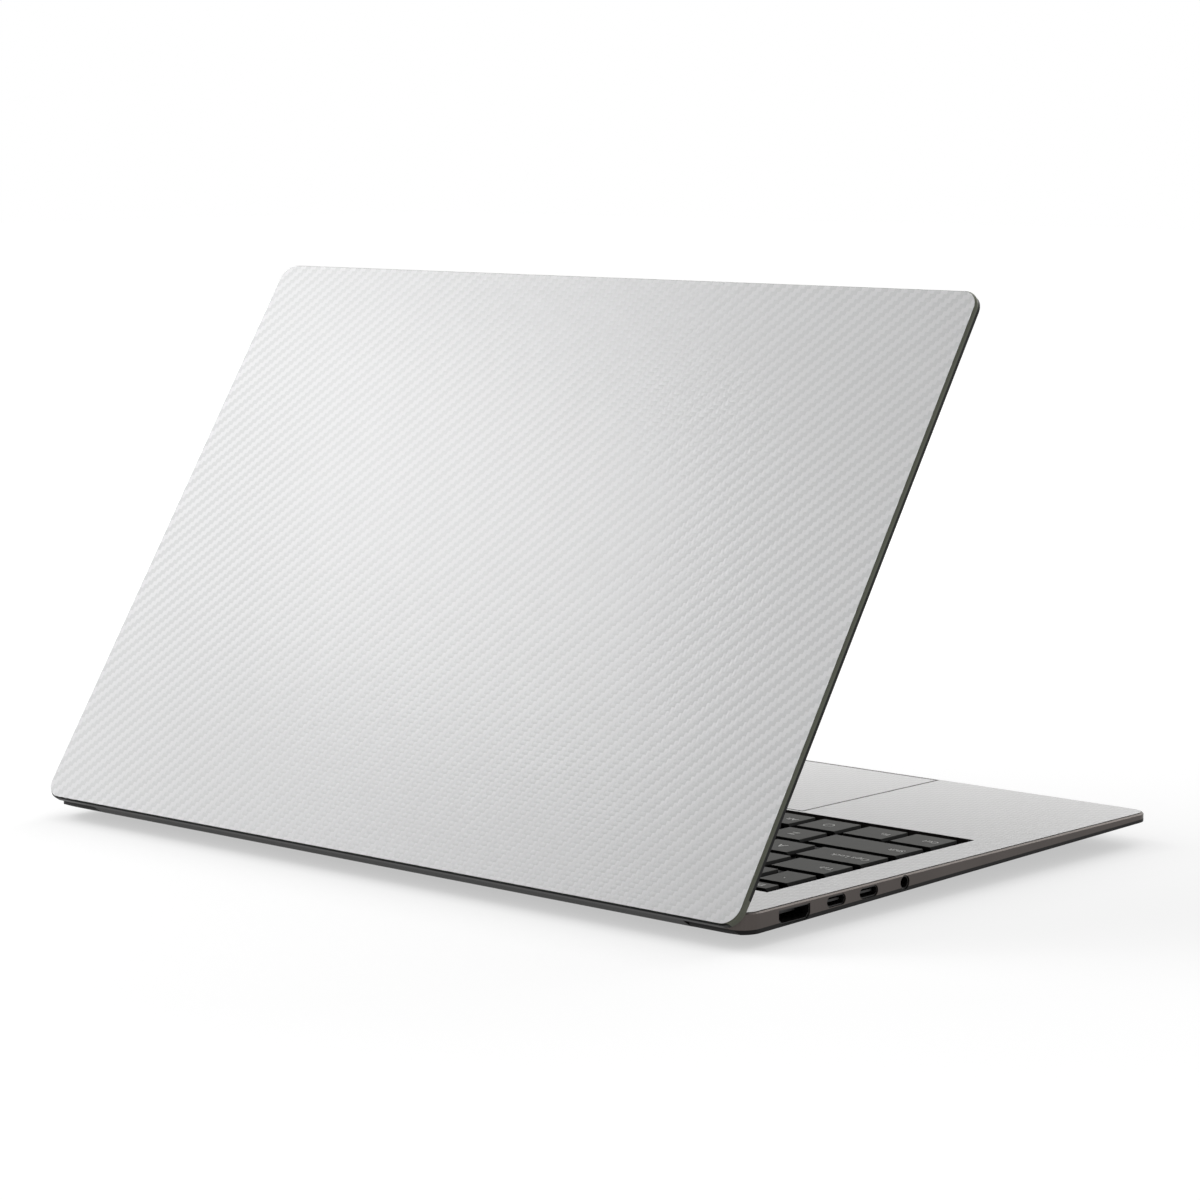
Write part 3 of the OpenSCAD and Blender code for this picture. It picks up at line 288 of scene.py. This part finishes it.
def vinyl(name, on_lid, tones, rough, gloss, crossed, depth):
    """White wrapping sheet with an embossed twill, its warp tows coloured lighter than its weft tows as a
    painted sheen, and painted shade on the sheet's cut edge and in a band round the touchpad's seam.
    """
    n = Nodes(name)
    x, y, z = n.place()
    down = lid_place(n, y, z) if on_lid else y
    across = n.math("DIVIDE", n.math("SUBTRACT", WEAVE_START, x), TOW_ACROSS)
    along = n.math("DIVIDE", n.math("ADD", down, WEAVE_START), TOW_ALONG)
    height, warp_up = twill(n, across, along)
    grain = n.noise(1.8, 3.0)
    # Painted sheen: the warp tows take the lighter tone and the weft tows the darker one, mixed with a
    # random grain of tone
    tow = n.math("ADD", n.math("MULTIPLY", warp_up, 0.8), n.math("MULTIPLY", grain, 0.4))
    shade = n.mix(tow, *tones)
    # Painted shade: the sheet's cut edge, just below its face, is coloured dark
    if on_lid:
        cut = n.math("GREATER_THAN", lid_depth(n, y, z), SHEET_EDGE)
    else:
        cut = n.math("LESS_THAN", z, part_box("deck_skin")[1][2] / MM - SHEET_EDGE)
        # Painted shade: a band round the touchpad's seam, on the touchpad's sheet and on the deck's, takes
        # the same dark colour
        low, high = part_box("touchpad_skin")
        outer = inside(n, (x, y), low, high, PAD_SEAM_SHADE)
        inner = inside(n, (x, y), low, high, -PAD_SEAM_SHADE)
        cut = n.math("MAXIMUM", cut, n.math("SUBTRACT", outer, inner))
    shade = n.mix(cut, shade, rgb(70, 65, 61))
    total = n.math("ADD", height, n.math("MULTIPLY", grain, 0.4))
    made = n.surface(shade, rough, 0.0, n.bump(total, depth), Specular_IOR_Level=gloss, Anisotropic=crossed)
    # The gloss of each tow runs across its fibres, so the two ways of the weave shine in turn
    grip = n.add("ShaderNodeCombineXYZ")
    grip.inputs[0].default_value = 1.0
    n.link(grip.outputs[0], n.shader.inputs["Tangent"])
    n.link(n.remap(warp_up, 0.0, 1.0, 0.25, 0.0), n.shader.inputs["Anisotropic Rotation"])
    return made


def metal(name, colour, edge=None, back=None, rough=0.42):
    """Bead-blasted metal, with the case's cut edge and painted shade on its rear, or painted shade on the
    lid's rear edge.
    """
    n = Nodes(name)
    x, y, z = n.place()
    grain = n.noise(14.0, 2.0)
    broad = n.noise(0.06, 2.0)
    tone = n.mix(n.remap(broad, 0.3, 0.7, 0.0, 1.0), colour, lighter(colour, 1.12))
    if edge:
        tone = n.mix(n.math("GREATER_THAN", z, CASE_Z - CASE_EDGE), tone, edge)
        # Painted shade: the case's rear face, beyond the near rear corner, is coloured near black where the
        # lid shades it
        behind = n.math("GREATER_THAN", y, REAR_SHADE_FROM)
        rear = n.math("MULTIPLY", behind, n.math("GREATER_THAN", x, REAR_CORNER_X))
        tone = n.mix(rear, tone, rgb(22, 22, 21))
    # Painted shade: the lid cover's lower rear edge, past a set distance behind the hinge axis, is coloured
    # near black
    if back:
        tone = n.mix(n.math("GREATER_THAN", lid_place(n, y, z), LID_REAR_SHADE_FROM), tone, back)
    worn = n.remap(grain, 0.3, 0.7, rough - 0.04, rough + 0.04)
    return n.surface(tone, worn, 0.85, n.bump(grain, 0.004))


def plastic(name, colour, rough=0.5, grain_size=10.0, depth=0.01, **uniform):
    """Moulded plastic, glass or rubber, with a fine grain and slight clouds."""
    n = Nodes(name)
    n.place()
    grain = n.noise(grain_size, 2.0)
    broad = n.noise(0.15, 2.0)
    tone = n.mix(n.remap(broad, 0.3, 0.7, 0.0, 1.0), colour, lighter(colour, 1.15))
    worn = n.remap(grain, 0.3, 0.7, rough - 0.06, rough + 0.06)
    return n.surface(tone, worn, 0.0, n.bump(grain, depth), **uniform)


def keycap_plastic():
    """Moulded key plastic: a finely grained top, a painted highlight in a thin band below the top's edge,
    and painted shade on the skirts below it.
    """
    n = Nodes("key_plastic")
    x, y, z = n.place()
    grain = n.noise(6.0, 2.0)
    top = n.mix(n.remap(grain, 0.3, 0.7, 0.0, 1.0), rgb(48, 48, 43), rgb(54, 53, 48))
    # Painted highlight: a thin band just below the top's edge is coloured lighter; painted shade: the
    # skirts below it are near black
    rim = n.mix(n.math("GREATER_THAN", z, KEY_TOP_Z - KEY_RIM_HIGHLIGHT), rgb(20, 20, 19), rgb(66, 66, 61))
    tone = n.mix(n.math("GREATER_THAN", z, KEY_TOP_Z - KEY_FACE), rim, top)
    return n.surface(tone, 0.5, 0.0, n.bump(grain, 0.006), Specular_IOR_Level=0.12)


def socket_metal(name, rim):
    """Socket shells: painted shade darkens the steel inside, with a bright cut rim at the mouth."""
    n = Nodes(name)
    x, y, z = n.place()
    mouth = n.math("GREATER_THAN", n.math("ABSOLUTE", x), BASE_HALF - SOCKET_LIP)
    grain = n.noise(8.0, 2.0)
    # Painted shade: the steel inside the shell is coloured near black; only the rim at the mouth takes the
    # rim colour
    dark = n.mix(grain, rgb(9, 8, 8), rgb(18, 15, 15))
    return n.surface(n.mix(mouth, dark, rim), 0.4, 0.0, n.bump(grain, 0.004))


def text_outline(words, size, middle):
    """Filled outline of a word as points and faces, about its own start or middle."""
    curve = bpy.data.curves.new("word", "FONT")
    curve.body = words
    curve.size = size
    curve.resolution_u = 2
    curve.offset = STROKE
    curve.align_x = "CENTER" if middle else "LEFT"
    curve.align_y = "CENTER"
    made = bpy.data.objects.new("word", curve)
    bpy.context.scene.collection.objects.link(made)
    bpy.context.view_layer.update()
    mesh = bpy.data.meshes.new_from_object(made)
    points = [(v.co.x, v.co.y) for v in mesh.vertices]
    faces = [tuple(f.vertices) for f in mesh.polygons]
    bpy.data.objects.remove(made)
    bpy.data.meshes.remove(mesh)
    bpy.data.curves.remove(curve)
    return points, faces


def ring_outline(outer, inner, steps=28):
    points, faces = [], []
    for i in range(steps):
        a = 2 * math.pi * i / steps
        points += [(r * math.cos(a), r * math.sin(a)) for r in (outer, inner)]
        j = (i + 1) % steps
        faces.append((2 * i, 2 * j, 2 * j + 1, 2 * i + 1))
    return points, faces


def arrow_outline(turn):
    c, s = math.cos(math.radians(turn)), math.sin(math.radians(turn))
    return [(x * c - y * s, x * s + y * c) for x, y in ARROW], [(0, 1, 2)]


def legend_outline(text):
    if text == "ring":
        return ring_outline(RING_OUTER, RING_INNER)
    if text in ARROWS:
        return arrow_outline(ARROWS[text])
    if len(text) == 1:
        return text_outline(text, LETTER_SIZE, True)
    return text_outline(text, WORD_SIZE, False)


def key_middle(row, i):
    """Middle of a key, in millimetres, and its width."""
    units = ROWS[row]
    x = -KEYS_W / 2 + KEY_UNIT * (sum(units[:i]) + units[i] / 2) - KEY_GAP / 2
    depth = BACK_KEY_D if row == BACK_ROW else ROW_PITCH - KEY_GAP
    return x, FIRST_KEY_Y + row * ROW_PITCH + depth / 2, KEY_UNIT * units[i] - KEY_GAP


def legends(material):
    """One flat piece of print for each key body, just above the key tops."""
    prints = {}
    for row, texts in enumerate(LEGENDS):
        for i, text in enumerate(texts):
            if not text:
                continue
            x, y, width = key_middle(row, i)
            plain = len(text) == 1 or text == "ring" or text in ARROWS
            if not plain:
                x += WORD_MARGIN - width / 2 + (BACK_WORD_SHIFT if row == BACK_ROW else 0.0)
            prints.setdefault(KEY_BODIES[row][i], []).append((text, x, y))
    x, y, width = key_middle(0, HALF_KEYS)
    for body, text, side in (("up_arrow_key", "up", 1), ("down_arrow_key", "down", -1)):
        prints[body] = [(text, x, y + side * HALF_KEY_STEP)]
    for body, marks in prints.items():
        points, faces = [], []
        for text, x, y in marks:
            flat, around = legend_outline(text)
            faces += [tuple(len(points) + k for k in face) for face in around]
            points += [((x + a) * MM, (y + b) * MM, (KEY_TOP_Z + PRINT_LIFT) * MM) for a, b in flat]
        mesh = bpy.data.meshes.new(body + "_print")
        mesh.from_pydata(points, [], faces)
        mesh.materials.append(material)
        made = bpy.data.objects.new(body + "_print", mesh)
        bpy.context.scene.collection.objects.link(made)
        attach(made, body)


def camera():
    data = bpy.data.cameras.new("camera")
    data.lens = CAMERA_LENS
    data.sensor_width = 36
    data.sensor_fit = "HORIZONTAL"
    data.clip_start, data.clip_end = 0.05, 50
    made = bpy.data.objects.new("camera", data)
    bpy.context.scene.collection.objects.link(made)
    yaw, pitch = math.radians(CAMERA_YAW), math.radians(CAMERA_PITCH)
    ahead = Vector((math.cos(pitch) * math.sin(yaw), math.cos(pitch) * math.cos(yaw), -math.sin(pitch)))
    made.location = Vector(CAMERA_AT) * MM
    made.rotation_mode = "QUATERNION"
    made.rotation_quaternion = ahead.to_track_quat("-Z", "Y")
    bpy.context.scene.camera = made


def lamp(name, at, aim, size, power, roll=0):
    data = bpy.data.lights.new(name, "AREA")
    data.shape = "RECTANGLE"
    data.size, data.size_y = size, size
    data.energy = power
    made = bpy.data.objects.new(name, data)
    bpy.context.scene.collection.objects.link(made)
    made.location = at
    made.rotation_mode = "QUATERNION"
    turn = Quaternion((0.0, 0.0, 1.0), math.radians(roll))
    made.rotation_quaternion = (Vector(aim) - Vector(at)).to_track_quat("-Z", "Y") @ turn


def studio():
    """White background for what the camera sees and mirrors, and a weak fill for the rest."""
    world = bpy.data.worlds.new("studio")
    bpy.context.scene.world = world
    world.use_nodes = True
    tree = world.node_tree
    tree.nodes.clear()
    out = tree.nodes.new("ShaderNodeOutputWorld")
    path = tree.nodes.new("ShaderNodeLightPath")
    mix = tree.nodes.new("ShaderNodeMixShader")
    for i, strength in ((1, WORLD_FILL), (2, 1.0)):
        light = tree.nodes.new("ShaderNodeBackground")
        light.inputs[0].default_value = (1, 1, 1, 1)
        light.inputs[1].default_value = strength
        tree.links.new(light.outputs[0], mix.inputs[i])
    seen = path.outputs["Is Camera Ray"]
    for ray in ("Is Glossy Ray", "Is Transmission Ray"):
        either = tree.nodes.new("ShaderNodeMath")
        either.operation = "MAXIMUM"
        tree.links.new(seen, either.inputs[0])
        tree.links.new(path.outputs[ray], either.inputs[1])
        seen = either.outputs[0]
    tree.links.new(seen, mix.inputs[0])
    tree.links.new(mix.outputs[0], out.inputs[0])


def floor():
    """Plain pale paper that keeps the object's shadow from the lamps, with a painted contact shadow close
    under the object.
    """
    mesh = bpy.data.meshes.new("floor")
    half = FLOOR_HALF * MM
    corners = [(-half, -half, 0), (half, -half, 0), (half, half, 0), (-half, half, 0)]
    mesh.from_pydata(corners, [], [(0, 1, 2, 3)])
    made = bpy.data.objects.new("floor", mesh)
    bpy.context.scene.collection.objects.link(made)
    n = Nodes("floor_paper")
    diffuse = n.add("ShaderNodeBsdfDiffuse")
    diffuse.inputs[0].default_value = (FLOOR_TONE, FLOOR_TONE, FLOOR_TONE, 1)
    glow = n.add("ShaderNodeEmission")
    path = n.add("ShaderNodeLightPath")
    seen = n.math("MAXIMUM", path.outputs["Is Camera Ray"], path.outputs["Is Glossy Ray"])
    seen = n.math("MAXIMUM", seen, path.outputs["Is Transmission Ray"])
    # The paper's glow fades to plain white away from the object, and a painted contact shadow darkens it
    # close under the object
    n.place()
    reach = n.add("ShaderNodeVectorMath", operation="LENGTH")
    n.link(n.spot, reach.inputs[0])
    lift = n.remap(reach.outputs["Value"], FADE_FROM, FADE_TO, FLOOR_LIFT, 1.0)
    contact_shadow = n.add("ShaderNodeAmbientOcclusion")
    contact_shadow.samples = 8
    contact_shadow.inputs["Distance"].default_value = CONTACT_SHADOW_REACH * MM
    lift = n.math("MULTIPLY", lift, n.remap(contact_shadow.outputs["AO"], 0.0, 1.0, CONTACT_SHADOW_DARK, 1.0))
    n.link(n.math("MULTIPLY", seen, lift), glow.inputs[1])
    both = n.add("ShaderNodeAddShader")
    n.link(diffuse.outputs[0], both.inputs[0])
    n.link(glow.outputs[0], both.inputs[1])
    n.link(both.outputs[0], n.out.inputs[0])
    mesh.materials.append(n.material)


def dress(node, material):
    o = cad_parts[node]
    if not o.data.materials:
        o.data.materials.append(material)
    for each in o.material_slots:
        each.link = "OBJECT"
        each.material = material


bpy.context.scene.view_settings.view_transform = "Standard"
camera()
studio()
floor()
lamp("softbox_right", (0.95, 0.56, 0.85), (0.0, 0.0, 0.08), 1.0, 14.1)
lamp("softbox_front", (0.0, -1.5, 1.2), (0.0, 0.0, 0.08), 1.2, 17.0)
lamp("accent", (0.91, 0.568, 0.905), (0.008, 0.045, 0.106), 0.28, 2.2, roll=45)

case = metal("case_metal", rgb(84, 78, 75), rgb(90, 84, 80))
# The lid's metal, with painted shade in near black on its rear edge
lid_metal = metal("lid_metal", rgb(84, 86, 76), back=rgb(20, 20, 19))
black = plastic("black_plastic", rgb(13, 12, 12), 0.55, Specular_IOR_Level=0.2)
strip = plastic("strip_plastic", rgb(24, 24, 22), 0.5, Specular_IOR_Level=0.25)
keys = keycap_plastic()
legend = plastic("legend_paint", rgb(214, 214, 210), 0.6)
well = plastic("well_plastic", rgb(42, 41, 39), 0.5)
socket = socket_metal("socket_steel", rgb(150, 149, 148))
ring = socket_metal("ring_steel", rgb(40, 38, 37))
steel = metal("plain_steel", rgb(170, 170, 172), rough=0.3)
glass = plastic("display_glass", rgb(14, 14, 16), 0.08, depth=0.0005)
rubber = plastic("foot_rubber", rgb(34, 34, 34), 0.7)
copper = metal("pipe_copper", rgb(190, 116, 84), rough=0.3)
board = plastic("board_laminate", rgb(16, 42, 38), 0.4, grain_size=1.2)
cell = plastic("cell_wrap", rgb(46, 47, 50), 0.45, grain_size=2.0)
lid_tones = (rgb(220, 221, 221), rgb(236, 236, 237))
# Painted light: the deck's vinyl is coloured lighter than the same vinyl on the lid, standing in for more
# light on the deck
deck_painted_light_tones = (rgb(242, 241, 240), rgb(251, 250, 249))
lid_vinyl = vinyl("lid_vinyl", True, lid_tones, 0.18, 0.2, 0.9, 0.028)
deck_vinyl = vinyl("deck_vinyl", False, deck_painted_light_tones, 0.22, 1.0, 0.0, 0.06)

LOOKS = {
    "top_case": case, "deck_skin": deck_vinyl, "touchpad_skin": deck_vinyl, "lid_skin": lid_vinyl,
    "lid_cover": lid_metal, "hinge_strip": strip, "keyboard_plate": well, "bottom_cover": black,
    "front_feet": rubber, "rear_foot": rubber, "display_panel": glass, "display_bezel": black,
    "lid_gasket": rubber, "camera_module": glass, "intake_grille": black,
    "touchpad": case, "touchpad_frame": case, "battery_pack": cell, "mainboard": board, "ssd_module": board,
    "heat_sink": copper, "fan_housings": black, "left_impeller": black, "right_impeller": black,
    "speakers": black,
    "hdmi_port": socket, "usb_c_ports": socket, "usb_a_port": socket, "audio_jack": ring,
}
for name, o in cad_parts.items():
    if name.endswith("_key") or name.endswith("_keys"):
        dress(name, keys)
    else:
        dress(name, LOOKS.get(name, steel))

legends(legend)
